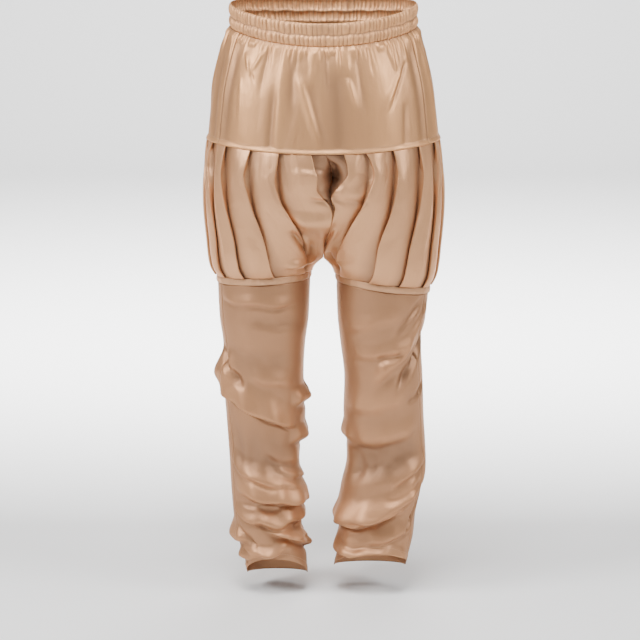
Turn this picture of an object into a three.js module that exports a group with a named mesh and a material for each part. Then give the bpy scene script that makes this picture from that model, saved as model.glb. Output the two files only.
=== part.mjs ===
// Ethnic pajama pants with pleated bloomers: an elastic gathered waistband, a smooth hip yoke, a knife-pleated
// bloomer over each thigh, a narrow band that gathers each bloomer in, and a slim lower leg that scrunches at the
// ankle. The pants are as worn, with nothing in them: hollow, and open at the waist and at both hems.
// Millimetres, +Z up, the front faces -Y. The origin is the middle of the waist opening, where the pants are held up.
// Angles round the body, and round a leg, start at the front and grow towards the outer side.
import * as THREE from "three";

const DEGREE = Math.PI / 180;

// Driving dimensions
const CLOTH = 1.2; // wall of one layer of cloth
const SEAM_GAP = 0.3; // between two pieces that are sewn together
const SIDE_SEAM = 63; // degrees round from the front
const WAIST = { halfWidth: 161, halfDepth: 118, height: 39, frontZ: -41, sideZ: -9, backZ: -6 };
const HIP = { halfWidth: 203, halfDepth: 144, seamZ: -224, frontDip: 17 };
const THIGH = { halfWidth: 82, halfDepth: 88, x: 105, y: -8 };
const CROTCH = { z: -431, y: -8, down: 0.84, halfGap: 0.8 };
const BAND = { height: 12, edgeProud: 1.2, middleProud: 1.8, joinProud: 0.9, joinWidth: 9 };
const HEM = { frontRise: 40, backDrop: 10 };

// Each leg: its side of the body, the middle of its thigh band and how much lower that lies at the outer side,
// its hem, the band's join in degrees round the thigh, and the edges of its knife pleats in degrees round the hip
const LEGS = {
  right: {
    side: -1,
    bandZ: -466,
    bandTilt: 4,
    hemZ: -1014,
    bandJoin: -1,
    pleats: [8, 22, 38, 56, 71, 86, 101, 116, 131, 145, 158, 169],
  },
  left: {
    side: 1,
    bandZ: -478,
    bandTilt: 11,
    hemZ: -1000,
    bandJoin: 4,
    pleats: [10, 21, 36, 54, 72, 87, 102, 116, 130, 144, 157, 168],
  },
};
const FRONT_PLEATS = 4;

// Colours and finishes
const SATIN = { color: 0xcfa88a, roughness: 0.42, metalness: 0.0 };
const ELASTIC_SATIN = { color: 0xcda587, roughness: 0.5, metalness: 0.0 };
const BAND_SATIN = { color: 0xc79f80, roughness: 0.45, metalness: 0.0 };

// Gathers of the elastic, and the outer surface of the waistband from bottom to top: its height over the ring,
// and how far a gather stands out from that
const WAIST_GATHERS = 100;
const WAIST_ROWS = [
  { up: 0.0, height: 1.4, gather: 0.5 },
  { up: 0.24, height: 2.8, gather: 0.9 },
  { up: 0.48, height: 1.4, gather: 0.35 },
  { up: 0.75, height: 2.8, gather: 0.9 },
  { up: 1.0, height: 1.4, gather: 0.5 },
];

// Half width and half depth of the yoke, by the share of the way down it
const YOKE_ROWS = [
  { down: 0.0, halfWidth: 162, halfDepth: 118 },
  { down: 0.07, halfWidth: 169, halfDepth: 122 },
  { down: 0.22, halfWidth: 179, halfDepth: 129 },
  { down: 0.5, halfWidth: 192, halfDepth: 138 },
  { down: 0.8, halfWidth: 199, halfDepth: 143 },
  { down: 1.0, halfWidth: 203, halfDepth: 144 },
];
const YOKE_GATHERS = { front: 14, back: 24, height: 3.6, atSeam: 0.35, highest: 0.07, gone: 0.7 };

// The bloomers, by the share of the way down them: how far their line has gone from the hip to the thigh, how far
// they puff out at the sides and at front and back, how high a pleat's flap stands, how far the cloth runs under it,
// and how far its edge has swung open
const BLOOMER_ROWS = [
  { down: 0.0, toThigh: 0.0, sidePuff: -3, frontPuff: -3, flap: 4.8, under: 8, open: 0 },
  { down: 0.08, toThigh: 0.0, sidePuff: -3, frontPuff: -2, flap: 8, under: 6.5, open: 3 },
  { down: 0.2, toThigh: 0.02, sidePuff: -4, frontPuff: -1, flap: 13, under: 5, open: 9 },
  { down: 0.34, toThigh: 0.08, sidePuff: -2, frontPuff: 1, flap: 14.5, under: 4, open: 11 },
  { down: 0.48, toThigh: 0.22, sidePuff: 1, frontPuff: 5, flap: 13.5, under: 4, open: 9 },
  { down: 0.6, toThigh: 0.44, sidePuff: 4, frontPuff: 11, flap: 12, under: 4, open: 6.5 },
  { down: 0.72, toThigh: 0.67, sidePuff: 6, frontPuff: 16, flap: 10.5, under: 4.3, open: 4.5 },
  { down: 0.84, toThigh: 0.87, sidePuff: 8, frontPuff: 19, flap: 8.5, under: 4.8, open: 2.5 },
  { down: 0.93, toThigh: 0.97, sidePuff: 7, frontPuff: 14, flap: 6.5, under: 5.3, open: 1 },
  { down: 1.0, toThigh: 1.0, sidePuff: 0, frontPuff: 0, flap: 4.8, under: 6, open: 0 },
];
// The middle seam of the bloomers, by the share of the way from the hip seam to the crotch
const MIDDLE_ROWS = [
  { down: 0.0, frontY: -141, backY: 141 },
  { down: 0.1, frontY: -126, backY: 143 },
  { down: 0.22, frontY: -98, backY: 140 },
  { down: 0.34, frontY: -112, backY: 135 },
  { down: 0.48, frontY: -124, backY: 126 },
  { down: 0.66, frontY: -102, backY: 102 },
  { down: 0.84, frontY: -58, backY: 58 },
  { down: 1.0, frontY: -8, backY: -8 },
];
// The share of the way round that the middle seam pulls in, above the crotch and at the thigh band
const MIDDLE_REACH = { aboveCrotch: 0.16, atBand: 0.03 };
// One pleat: the heights of its two upper layers where it is pressed flat, the part of the front where pleats are
// lower, and the shape of its flap as shares of the pitch and of the flap's height
const PLEAT = {
  underLayer: 2.1,
  topLayer: 2.4,
  pressed: 4.8,
  quietDegrees: 16,
  seamHeight: 0.94,
  foot: 0.1,
  footHeight: -0.06,
  foldHeight: -0.3,
  underHeight: 0.1,
  edgeHeight: 0.6,
  crown: 0.4,
  crownHeight: 0.9,
};

// The lower legs, from the band down: middle and half sizes of each section. X is outwards from the body's middle.
const LEG_ROWS = {
  right: [
    { z: -474, x: 105, y: -8, halfWidth: 82, halfDepth: 88 },
    { z: -540, x: 105, y: -10, halfWidth: 79, halfDepth: 84 },
    { z: -585, x: 105, y: -9, halfWidth: 73, halfDepth: 79 },
    { z: -645, x: 107, y: -4, halfWidth: 72, halfDepth: 77 },
    { z: -720, x: 103, y: 5, halfWidth: 71, halfDepth: 74 },
    { z: -800, x: 106, y: 12, halfWidth: 63, halfDepth: 69 },
    { z: -860, x: 101, y: 13, halfWidth: 65, halfDepth: 67 },
    { z: -930, x: 99, y: 11, halfWidth: 60, halfDepth: 64 },
    { z: -975, x: 89, y: 8, halfWidth: 58, halfDepth: 61 },
    { z: -1014, x: 83, y: 6, halfWidth: 54, halfDepth: 59 },
  ],
  left: [
    { z: -486, x: 105, y: -8, halfWidth: 82, halfDepth: 88 },
    { z: -540, x: 103, y: -10, halfWidth: 78, halfDepth: 84 },
    { z: -585, x: 102, y: -9, halfWidth: 72, halfDepth: 80 },
    { z: -645, x: 107, y: -4, halfWidth: 70, halfDepth: 77 },
    { z: -720, x: 108, y: 5, halfWidth: 72, halfDepth: 74 },
    { z: -800, x: 113, y: 12, halfWidth: 71, halfDepth: 71 },
    { z: -855, x: 104, y: 13, halfWidth: 73, halfDepth: 70 },
    { z: -900, x: 97, y: 12, halfWidth: 70, halfDepth: 67 },
    { z: -945, x: 95, y: 9, halfWidth: 67, halfDepth: 65 },
    { z: -1000, x: 84, y: 6, halfWidth: 64, halfDepth: 60 },
  ],
};

// The largest folds of each lower leg. A fold runs from one angle and height to another, and its middle hangs lower
// by its bow. It stands out by its height, dies away above and below its line, and rolls down over what is under it.
const LEG_FOLDS = {
  right: [
    { from: 95, fromZ: -662, to: -60, toZ: -738, bow: 8, height: 13, above: 50, below: 16, roll: 7 },
    { from: -128, fromZ: -668, to: -40, toZ: -680, bow: 4, height: 11, above: 20, below: 20, roll: 4 },
    { from: -120, fromZ: -744, to: -40, toZ: -750, bow: 4, height: 10, above: 24, below: 20, roll: 4 },
    { from: 30, fromZ: -618, to: 150, toZ: -630, bow: 8, height: 10, above: 40, below: 30, roll: 3 },
    { from: 150, fromZ: -650, to: 250, toZ: -690, bow: 12, height: 8, above: 36, below: 20, roll: 4 },
    { from: 62, fromZ: -838, to: -125, toZ: -868, bow: 8, height: 11, above: 40, below: 17, roll: 6 },
    { from: 42, fromZ: -898, to: -125, toZ: -890, bow: 8, height: 8, above: 16, below: 15, roll: 4 },
    { from: 135, fromZ: -922, to: 30, toZ: -938, bow: 6, height: 11, above: 26, below: 16, roll: 5 },
    { from: 15, fromZ: -905, to: -125, toZ: -968, bow: 0, height: 14, above: 22, below: 18, roll: 6 },
    { from: 115, fromZ: -982, to: -45, toZ: -948, bow: 4, height: 8, above: 16, below: 13, roll: 3 },
    { from: 125, fromZ: -868, to: 255, toZ: -888, bow: 10, height: 10, above: 26, below: 16, roll: 5 },
    { from: 135, fromZ: -946, to: 255, toZ: -938, bow: 8, height: 9, above: 22, below: 15, roll: 5 },
  ],
  left: [
    { from: 105, fromZ: -548, to: 10, toZ: -668, bow: -4, height: -7, above: 22, below: 20, roll: 0 },
    { from: 62, fromZ: -560, to: -20, toZ: -652, bow: 0, height: 6, above: 28, below: 22, roll: 2 },
    { from: 70, fromZ: -740, to: -30, toZ: -792, bow: 26, height: -6, above: 20, below: 20, roll: 0 },
    { from: 95, fromZ: -795, to: -115, toZ: -886, bow: 56, height: 12, above: 36, below: 18, roll: 5 },
    { from: -125, fromZ: -886, to: -50, toZ: -898, bow: 4, height: 5, above: 22, below: 16, roll: 3 },
    { from: 85, fromZ: -985, to: -125, toZ: -950, bow: 2, height: 11, above: 34, below: 12, roll: 5 },
    { from: -128, fromZ: -742, to: -45, toZ: -748, bow: 4, height: 6, above: 26, below: 18, roll: 2 },
    { from: 125, fromZ: -640, to: 240, toZ: -672, bow: 12, height: 8, above: 36, below: 20, roll: 4 },
    { from: 110, fromZ: -846, to: 245, toZ: -868, bow: 10, height: 10, above: 28, below: 16, roll: 5 },
    { from: 115, fromZ: -930, to: 250, toZ: -922, bow: 8, height: 10, above: 24, below: 15, roll: 5 },
  ],
};
const FOLD_TAPER = 0.28; // share of a fold's length over which each end dies away

// Fineness of the sections
const YOKE_SECTIONS = [0, 0.07, 0.25, 0.6, 1];
const LEG_SECTIONS = { aboveAnkle: 17, atAnkle: 13, ankle: 0.66, frontColumns: 9, backColumns: 11 };
const BAND_COLUMNS = 40;
const ROUND_SAMPLES = 90;

// Small helpers

const clamp = (value, low, high) => Math.min(Math.max(value, low), high);
const mix = (a, b, share) => a + (b - a) * share;

function smoothstep(low, high, value) {
  const t = clamp((value - low) / (high - low), 0, 1);
  return t * t * (3 - 2 * t);
}

// A smooth curve through one column of a table, read at a place in another column.
function readColumn(rows, placeName, column, place) {
  const last = rows.length - 1;
  const sign = Math.sign(rows[last][placeName] - rows[0][placeName]);
  let i = 0;
  while (i < last - 1 && (place - rows[i + 1][placeName]) * sign > 0) i += 1;
  const slope = (k) => {
    const before = rows[Math.max(k - 1, 0)];
    const after = rows[Math.min(k + 1, last)];
    return (after[column] - before[column]) / (after[placeName] - before[placeName]);
  };
  const span = rows[i + 1][placeName] - rows[i][placeName];
  const t = clamp((place - rows[i][placeName]) / span, 0, 1);
  const startPull = (t ** 3 - 2 * t ** 2 + t) * span * slope(i);
  const endPull = (t ** 3 - t ** 2) * span * slope(i + 1);
  return mix(rows[i][column], rows[i + 1][column], smoothstep(0, 1, t)) + startPull + endPull;
}

// A steady number from 0 to 1 for the pleat or gather of this number.
function steady(number, salt = 0) {
  const wave = Math.sin(number * 12.9898 + salt * 78.233) * 43758.5453;
  return wave - Math.floor(wave);
}

// The direction straight out of a surface that takes a share of the way round and a share of the way down,
// worked out from points close by. Side is the side of the body that the way round grows towards.
function outOf(surface, round, down, side) {
  const step = 0.004;
  const before = surface(round - step, down);
  const after = surface(round + step, down);
  const above = surface(round, Math.max(down - step, 0));
  const below = surface(round, Math.min(down + step, 1));
  return below.sub(above).cross(after.sub(before)).multiplyScalar(side).normalize();
}

// Walls

// Triangles that join two lines of points, of any lengths, and keep step with both.
function strip(faces, a, b) {
  let [i, j] = [0, 0];
  while (i < a.length - 1 || j < b.length - 1) {
    const nextA = (i + 1) / (a.length - 1);
    const nextB = (j + 1) / (b.length - 1);
    if (j === b.length - 1 || (i < a.length - 1 && nextA <= nextB)) {
      faces.push(a[i], b[j], a[i + 1]);
      i += 1;
    } else {
      faces.push(a[i], b[j], b[j + 1]);
      j += 1;
    }
  }
}

// The closed wall between a grid of outer points and a grid of inner points. A ring closes on itself along each row.
function wallGeometry(outer, inner, isRing) {
  const columns = outer[0].length;
  const positions = [...outer.flat(), ...inner.flat()].flatMap((p) => [p.x, p.y, p.z]);
  const numberRows = (grid, start) => grid.map((row, i) => row.map((_, j) => start + i * columns + j));
  const outerRows = numberRows(outer, 0);
  const innerRows = numberRows(inner, outer.length * columns);
  const closed = (row) => (isRing ? [...row, row[0]] : row);
  const column = (rows, j) => rows.map((row) => row[j]);
  // The two sides of the wall are split into the same triangles, and so are its two ends, so that a bent wall keeps
  // its thickness and two panels fit along their seam
  const faces = [];
  const backFaces = [];
  for (let i = 1; i < outer.length; i += 1) strip(faces, closed(outerRows[i - 1]), closed(outerRows[i]));
  for (let i = 1; i < inner.length; i += 1) strip(backFaces, closed(innerRows[i - 1]), closed(innerRows[i]));
  strip(faces, closed(innerRows[0]), closed(outerRows[0]));
  strip(backFaces, closed(innerRows.at(-1)), closed(outerRows.at(-1)));
  if (!isRing) {
    strip(backFaces, column(innerRows, 0), column(outerRows, 0));
    strip(faces, column(innerRows, columns - 1), column(outerRows, columns - 1));
  }
  faces.push(...backFaces.reverse());
  return facingOut(positions, faces);
}

// The geometry of a closed surface, with its faces turned round if they point in.
function facingOut(positions, faces) {
  const point = (i) => new THREE.Vector3().fromArray(positions, 3 * i);
  let volume = 0;
  for (let i = 0; i < faces.length; i += 3) {
    volume += point(faces[i]).dot(point(faces[i + 1]).cross(point(faces[i + 2])));
  }
  if (volume < 0) faces.reverse();
  const geometry = new THREE.BufferGeometry();
  geometry.setAttribute("position", new THREE.Float32BufferAttribute(positions, 3));
  geometry.setIndex(faces);
  geometry.computeVertexNormals();
  return geometry;
}

function piece(name, finish, geometry) {
  const mesh = new THREE.Mesh(geometry, new THREE.MeshStandardMaterial(finish));
  mesh.name = name;
  return mesh;
}

// Rings of the waist, the hips and the thighs

// The height of the waistband's middle line.
function waistLevel(angle) {
  const swing = (WAIST.backZ - WAIST.frontZ) / 2;
  const lean = (WAIST.backZ + WAIST.frontZ) / 2 - WAIST.sideZ;
  return WAIST.sideZ + lean * Math.cos(angle) ** 2 - swing * Math.cos(angle);
}

function hipSeamZ(angle) {
  return HIP.seamZ - (HIP.frontDip / 2) * (Math.cos(angle) + Math.cos(angle) ** 2);
}

function bandLevel(leg, angle) {
  return leg.bandZ - leg.bandTilt * Math.sin(angle);
}

// A point on an ellipse, moved straight out from it.
function ringPoint(ring, angle, z, height) {
  const [sine, cosine] = [Math.sin(angle), Math.cos(angle)];
  const out = new THREE.Vector3(sine / ring.halfWidth, -cosine / ring.halfDepth, 0).normalize();
  return new THREE.Vector3(ring.halfWidth * sine, -ring.halfDepth * cosine, z).addScaledVector(out, height);
}

// A point on an ellipse round one leg, mirrored to the leg's side.
function thighPoint(leg, ring, angle, z, height) {
  const point = ringPoint(ring, angle, z, height);
  return new THREE.Vector3(leg.side * (ring.x + point.x), ring.y + point.y, z);
}

// Waistband: a ring of elastic casing, with two puffed channels and a stitched line between them
function waistband() {
  const columns = 2 * WAIST_GATHERS;
  const row = (up, heightOf) =>
    Array.from({ length: columns }, (_, j) => {
      const angle = (2 * Math.PI * j) / columns;
      return ringPoint(WAIST, angle, waistLevel(angle) + (up - 0.5) * WAIST.height, heightOf(j));
    });
  const gather = (j) => (j % 2 ? -1 : 1) * mix(0.7, 1.3, steady(j));
  const outer = WAIST_ROWS.map((place) => row(place.up, (j) => place.height + place.gather * gather(j)));
  const inner = [0, 1].map((up) => row(up, () => -CLOTH));
  return piece("waistband", ELASTIC_SATIN, wallGeometry(outer, inner, true));
}

// Yoke: a front and a back panel, gathered into the waistband and sewn to the bloomers along a level seam
function yokePanel(name, fromDegrees, toDegrees, gathers, salt) {
  const columns = 2 * gathers;
  const halfGap = SEAM_GAP / 2 / HIP.halfDepth;
  const angles = Array.from({ length: columns + 1 }, (_, j) =>
    mix(fromDegrees * DEGREE + halfGap, toDegrees * DEGREE - halfGap, j / columns),
  );
  const gatherHeight = (j, down) => {
    const rise = mix(YOKE_GATHERS.atSeam, 1, smoothstep(0, YOKE_GATHERS.highest, down));
    const length = YOKE_GATHERS.gone * mix(0.5, 1, steady(j, salt));
    const fall = 1 - smoothstep(YOKE_GATHERS.highest, length, down);
    return j % 2 ? YOKE_GATHERS.height * mix(0.6, 1, steady(j, salt + 1)) * rise * fall : 0;
  };
  const row = (down, lowered) => {
    const halfWidth = readColumn(YOKE_ROWS, "down", "halfWidth", down);
    const halfDepth = readColumn(YOKE_ROWS, "down", "halfDepth", down);
    return angles.map((angle, j) => {
      const topZ = waistLevel(angle) - WAIST.height / 2 - SEAM_GAP;
      const z = mix(topZ, hipSeamZ(angle) + SEAM_GAP / 2, down);
      return ringPoint({ halfWidth, halfDepth }, angle, z, gatherHeight(j, down) - lowered);
    });
  };
  const outer = YOKE_SECTIONS.map((down) => row(down, 0));
  const inner = YOKE_SECTIONS.map((down) => row(down, CLOTH));
  return piece(name, SATIN, wallGeometry(outer, inner, false));
}

// Bloomers: a front and a back panel of knife pleats for each leg

// The smooth surface that the pleats lie on. Round is 0 at the middle of the front, where the cloth turns in between
// the legs, and 1 at the middle of the back. Down is 0 at the hip seam and 1 at the thigh band.
function bloomerSurface(leg, round, down) {
  const hipAngle = round * Math.PI;
  const thighAngle = (round * 360 - 90) * DEGREE;
  const read = (column) => readColumn(BLOOMER_ROWS, "down", column, down);
  const toThigh = read("toThigh");
  const hip = ringPoint(HIP, hipAngle, hipSeamZ(hipAngle) - SEAM_GAP / 2, 0);
  const thigh = ringPoint(THIGH, thighAngle, bandLevel(leg, thighAngle) + BAND.height / 2 + SEAM_GAP, 0);
  const x = mix(hip.x, THIGH.x + thigh.x, toThigh) + read("sidePuff") * Math.sin(hipAngle);
  const y = mix(hip.y, THIGH.y + thigh.y, toThigh) - read("frontPuff") * Math.cos(hipAngle);
  const z = mix(hip.z, thigh.z, down);
  const middle = middleSeam(leg, round < 0.5, down);
  const reach = mix(MIDDLE_REACH.aboveCrotch, MIDDLE_REACH.atBand, smoothstep(CROTCH.down, 1, down));
  const away = Math.sin((Math.PI / 2) * Math.min(1, Math.min(round, 1 - round) / reach));
  return new THREE.Vector3(leg.side * mix(middle.x, x, away), mix(middle.y, y, away), mix(middle.z, z, away));
}

// The middle seam runs down between the legs to the crotch, and then on as the leg's inseam.
function middleSeam(leg, isFront, down) {
  if (down <= CROTCH.down) {
    const share = down / CROTCH.down;
    const y = readColumn(MIDDLE_ROWS, "down", isFront ? "frontY" : "backY", share);
    return { x: SEAM_GAP / 2, y, z: mix(hipSeamZ(isFront ? 0 : Math.PI) - SEAM_GAP / 2, CROTCH.z, share) };
  }
  const share = (down - CROTCH.down) / (1 - CROTCH.down);
  const spread = Math.sin((share * Math.PI) / 2);
  const bandTopZ = bandLevel(leg, -90 * DEGREE) + BAND.height / 2 + SEAM_GAP;
  const x = mix(CROTCH.halfGap, THIGH.x - THIGH.halfWidth, spread);
  return { x, y: CROTCH.y, z: mix(CROTCH.z, bandTopZ, share) };
}

// A point of a bloomer, at a height over the smooth surface. Along the middle seam the height lies in the seam's own
// plane, so that the two legs' panels meet face to face there, and so do a leg's front and back along the inseam.
function bloomerPoint(leg, isFront, round, down, height) {
  const surface = (a, b) => bloomerSurface(leg, clamp(a, 0, 1), b);
  const point = surface(round, down);
  const isSeam = isFront ? round <= 0 : round >= 1;
  let out = outOf(surface, round, down, leg.side);
  if (isSeam && down < CROTCH.down) {
    out = new THREE.Vector3(0, out.y, out.z).normalize();
  } else if (isSeam) {
    out = down > CROTCH.down ? new THREE.Vector3(-leg.side, 0, 0) : new THREE.Vector3(0, 0, -1);
    point.y += ((isFront ? -1 : 1) * SEAM_GAP) / 2;
  }
  if (down === 0 || down === 1) out.setZ(0).normalize();
  point.addScaledVector(out, height);
  point.x = leg.side * Math.max(leg.side * point.x, SEAM_GAP / 2);
  return point;
}

// The distances round a bloomer, along its smooth surface, from the middle of the front.
function distancesRound(leg, down) {
  const distances = [0];
  for (let i = 1; i <= ROUND_SAMPLES; i += 1) {
    const before = bloomerSurface(leg, (i - 1) / ROUND_SAMPLES, down);
    distances.push(distances[i - 1] + before.distanceTo(bloomerSurface(leg, i / ROUND_SAMPLES, down)));
  }
  return distances;
}

function distanceAt(distances, round) {
  const i = Math.min(Math.floor(round * ROUND_SAMPLES), ROUND_SAMPLES - 1);
  return mix(distances[i], distances[i + 1], round * ROUND_SAMPLES - i);
}

function roundAt(distances, distance) {
  const i = clamp(distances.findIndex((d) => d >= distance) - 1, 0, ROUND_SAMPLES - 1);
  return (i + (distance - distances[i]) / (distances[i + 1] - distances[i])) / ROUND_SAMPLES;
}

// A section across one panel's pleats: points with a distance round the leg and a height over the smooth surface.
// Each pleat has a foot before the flap's edge, the deep fold under it, the edge itself and the flap's crown.
function pleatSection(leg, isFront, down, distances) {
  const read = (column) => readColumn(BLOOMER_ROWS, "down", column, down);
  const puffed = smoothstep(0, 0.3, down) * (1 - smoothstep(0.75, 1, down));
  const seam = distanceAt(distances, SIDE_SEAM / 180);
  const seamPoint = { s: seam + ((isFront ? -1 : 1) * SEAM_GAP) / 2, h: read("flap") * PLEAT.seamHeight };
  const middlePoint = { s: distanceAt(distances, isFront ? 0 : 1), h: 0 };
  const flaps = leg.pleats.flatMap((degrees, k) => {
    if (k < FRONT_PLEATS !== isFront) return [];
    const edge = distanceAt(distances, degrees / 180);
    const pitch = distanceAt(distances, (leg.pleats[k + 1] ?? 180) / 180) - edge;
    const quiet = mix(0.5, 1, smoothstep(0, PLEAT.quietDegrees, Math.min(degrees, 182 - degrees)));
    const uneven = mix(1, quiet * mix(0.85, 1.12, steady(k, leg.side)), puffed);
    const flap = Math.max(read("flap") * uneven, PLEAT.pressed);
    const open = read("open") * quiet * mix(0.7, 1.15, steady(k, leg.side + 3));
    const under = read("under");
    const crown = edge + Math.max(open, under) + PLEAT.crown * pitch;
    const beforeSeam = k === FRONT_PLEATS - 1;
    return [
      { s: edge - PLEAT.foot * pitch, h: flap * PLEAT.footHeight * puffed },
      { s: edge + under, h: flap * PLEAT.foldHeight * puffed },
      { s: edge + under, h: mix(PLEAT.underLayer, flap * PLEAT.underHeight, puffed) },
      { s: edge + open, h: mix(PLEAT.topLayer, flap * PLEAT.edgeHeight, puffed) },
      { s: edge + open, h: flap },
      ...(beforeSeam ? [] : [{ s: crown, h: flap * PLEAT.crownHeight }]),
    ];
  });
  return isFront ? [middlePoint, ...flaps, seamPoint] : [seamPoint, ...flaps, middlePoint];
}

// The section moved by half a wall, square to the cloth and mitred at each fold. Its two ends are cut square.
function offsetSection(points, distance) {
  const last = points.length - 1;
  const direction = (i) => {
    const [a, b] = [points[i], points[i + 1]];
    const length = Math.hypot(b.s - a.s, b.h - a.h);
    return { s: (b.s - a.s) / length, h: (b.h - a.h) / length };
  };
  return points.map((point, i) => {
    const before = direction(Math.max(i - 1, 0));
    const after = direction(Math.min(i, last - 1));
    const normal = { s: -before.h - after.h, h: before.s + after.s };
    const reach = (2 * distance) / (normal.s ** 2 + normal.h ** 2);
    const isEnd = i === 0 || i === last;
    return { s: point.s + (isEnd ? 0 : normal.s * reach), h: point.h + (isEnd ? distance : normal.h * reach) };
  });
}

function bloomerPanel(name, leg, isFront) {
  const row = (down, distance) => {
    const distances = distancesRound(leg, down);
    const section = offsetSection(pleatSection(leg, isFront, down, distances), distance);
    return section.map((p) => {
      const round = clamp(roundAt(distances, p.s), 0, 1);
      return bloomerPoint(leg, isFront, round, down, p.h - CLOTH / 2);
    });
  };
  const outer = BLOOMER_ROWS.map((place) => row(place.down, CLOTH / 2));
  const inner = BLOOMER_ROWS.map((place) => row(place.down, -CLOTH / 2));
  return piece(name, SATIN, wallGeometry(outer, inner, false));
}

// Thigh band: a narrow folded strip round the leg, thicker where its ends are joined
function thighBand(name, leg) {
  const row = (up, proud) =>
    Array.from({ length: BAND_COLUMNS }, (_, j) => {
      const angle = (2 * Math.PI * j) / BAND_COLUMNS + leg.bandJoin * DEGREE;
      const fromJoin = Math.min(j, BAND_COLUMNS - j) * (360 / BAND_COLUMNS);
      const join = fromJoin < BAND.joinWidth ? BAND.joinProud : 0;
      const height = proud < 0 ? proud : proud + join;
      return thighPoint(leg, THIGH, angle, bandLevel(leg, angle) + (up - 0.5) * BAND.height, height);
    });
  const outer = [row(0, BAND.edgeProud), row(0.5, BAND.middleProud), row(1, BAND.edgeProud)];
  const inner = [row(0, -CLOTH), row(1, -CLOTH)];
  return piece(name, BAND_SATIN, wallGeometry(outer, inner, true));
}

// Lower legs: a front and a back panel for each leg, with the folds of worn cloth

// How a leg's folds move its surface at an angle and a height: outwards and up.
function foldShift(folds, degrees, z) {
  let [outwards, upwards] = [0, 0];
  folds.forEach((fold) => {
    [-360, 0, 360].forEach((turn) => {
      const along = (degrees + turn - fold.from) / (fold.to - fold.from);
      if (along <= 0 || along >= 1) return;
      const lineZ = mix(fold.fromZ, fold.toZ, along) - fold.bow * 4 * along * (1 - along);
      const away = z - lineZ;
      const reach = away > 0 ? fold.above : fold.below;
      const ends = smoothstep(0, FOLD_TAPER, along) * (1 - smoothstep(1 - FOLD_TAPER, 1, along));
      const strength = ends * (1 - smoothstep(0, reach, Math.abs(away)));
      outwards += fold.height * strength;
      upwards -= fold.roll * strength;
    });
  });
  return { outwards, upwards };
}

// The outer surface of a lower leg. Round is 0 and 1 at the inseam; down is 0 at the band and 1 at the hem.
function legSurface(leg, rows, folds, round, down) {
  const degrees = round * 360 - 90;
  const angle = degrees * DEGREE;
  const forward = Math.cos(angle);
  const hemZ = leg.hemZ + HEM.frontRise * Math.max(forward, 0) - HEM.backDrop * Math.max(-forward, 0);
  const z = mix(bandLevel(leg, angle) - BAND.height / 2 - SEAM_GAP, hemZ, down);
  const read = (column) => readColumn(rows, "z", column, z);
  const ring = { x: read("x"), y: read("y"), halfWidth: read("halfWidth"), halfDepth: read("halfDepth") };
  const shift = foldShift(folds, degrees, z);
  return thighPoint(leg, ring, angle, z + shift.upwards, shift.outwards);
}

function legPanel(name, leg, rows, folds, fromDegrees, toDegrees, columns) {
  const surface = (round, down) => legSurface(leg, rows, folds, round, down);
  const halfGap = SEAM_GAP / 2 / THIGH.halfWidth / DEGREE;
  const rounds = Array.from(
    { length: columns + 1 },
    (_, j) => (mix(fromDegrees + halfGap, toDegrees - halfGap, j / columns) + 90) / 360,
  );
  const { aboveAnkle, atAnkle, ankle } = LEG_SECTIONS;
  const downs = [
    ...Array.from({ length: aboveAnkle }, (_, i) => (ankle * i) / aboveAnkle),
    ...Array.from({ length: atAnkle + 1 }, (_, i) => mix(ankle, 1, i / atAnkle)),
  ];
  const outer = downs.map((down) => rounds.map((round) => surface(round, down)));
  const inner = downs.map((down, i) =>
    rounds.map((round, j) => {
      const out = outOf(surface, round, down, leg.side);
      if (down === 0 || down === 1) out.setZ(0).normalize();
      return outer[i][j].clone().addScaledVector(out, -CLOTH);
    }),
  );
  return piece(name, SATIN, wallGeometry(outer, inner, false));
}

// The whole garment

const pants = new THREE.Group();
pants.add(waistband());
pants.add(yokePanel("yoke_front", -SIDE_SEAM, SIDE_SEAM, YOKE_GATHERS.front, 5));
pants.add(yokePanel("yoke_back", SIDE_SEAM, 360 - SIDE_SEAM, YOKE_GATHERS.back, 9));
for (const [name, leg] of Object.entries(LEGS)) {
  const [rows, folds] = [LEG_ROWS[name], LEG_FOLDS[name]];
  pants.add(bloomerPanel(`bloomer_front_${name}`, leg, true));
  pants.add(bloomerPanel(`bloomer_back_${name}`, leg, false));
  pants.add(thighBand(`band_${name}`, leg));
  pants.add(legPanel(`leg_front_${name}`, leg, rows, folds, -90, SIDE_SEAM, LEG_SECTIONS.frontColumns));
  pants.add(legPanel(`leg_back_${name}`, leg, rows, folds, SIDE_SEAM, 270, LEG_SECTIONS.backColumns));
}

export default pants;
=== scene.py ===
import math

import bpy
import numpy as np
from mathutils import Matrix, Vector


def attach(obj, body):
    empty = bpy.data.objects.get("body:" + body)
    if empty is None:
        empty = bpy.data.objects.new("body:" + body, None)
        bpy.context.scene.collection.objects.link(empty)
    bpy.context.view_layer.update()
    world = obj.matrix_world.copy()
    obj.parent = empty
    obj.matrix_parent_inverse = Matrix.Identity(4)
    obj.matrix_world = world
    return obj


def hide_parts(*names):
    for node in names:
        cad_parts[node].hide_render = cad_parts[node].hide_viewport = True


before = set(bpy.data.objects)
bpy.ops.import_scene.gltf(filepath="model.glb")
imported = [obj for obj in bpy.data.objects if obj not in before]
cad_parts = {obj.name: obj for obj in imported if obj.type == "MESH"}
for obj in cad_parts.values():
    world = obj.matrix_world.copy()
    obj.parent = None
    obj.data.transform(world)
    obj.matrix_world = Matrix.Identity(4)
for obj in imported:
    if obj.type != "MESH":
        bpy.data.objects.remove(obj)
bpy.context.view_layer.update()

# Driving dimensions. Most are the solids' own. The pleats' section and opening, the yoke's hem, gathers
# and creases, and the smaller folds of the legs are finer here than in the solids.
CLOTH = 1.0
BAND_CLOTH = 1.6
SEAM_GAP = 0.3
SIDE_SEAM = 63
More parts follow.
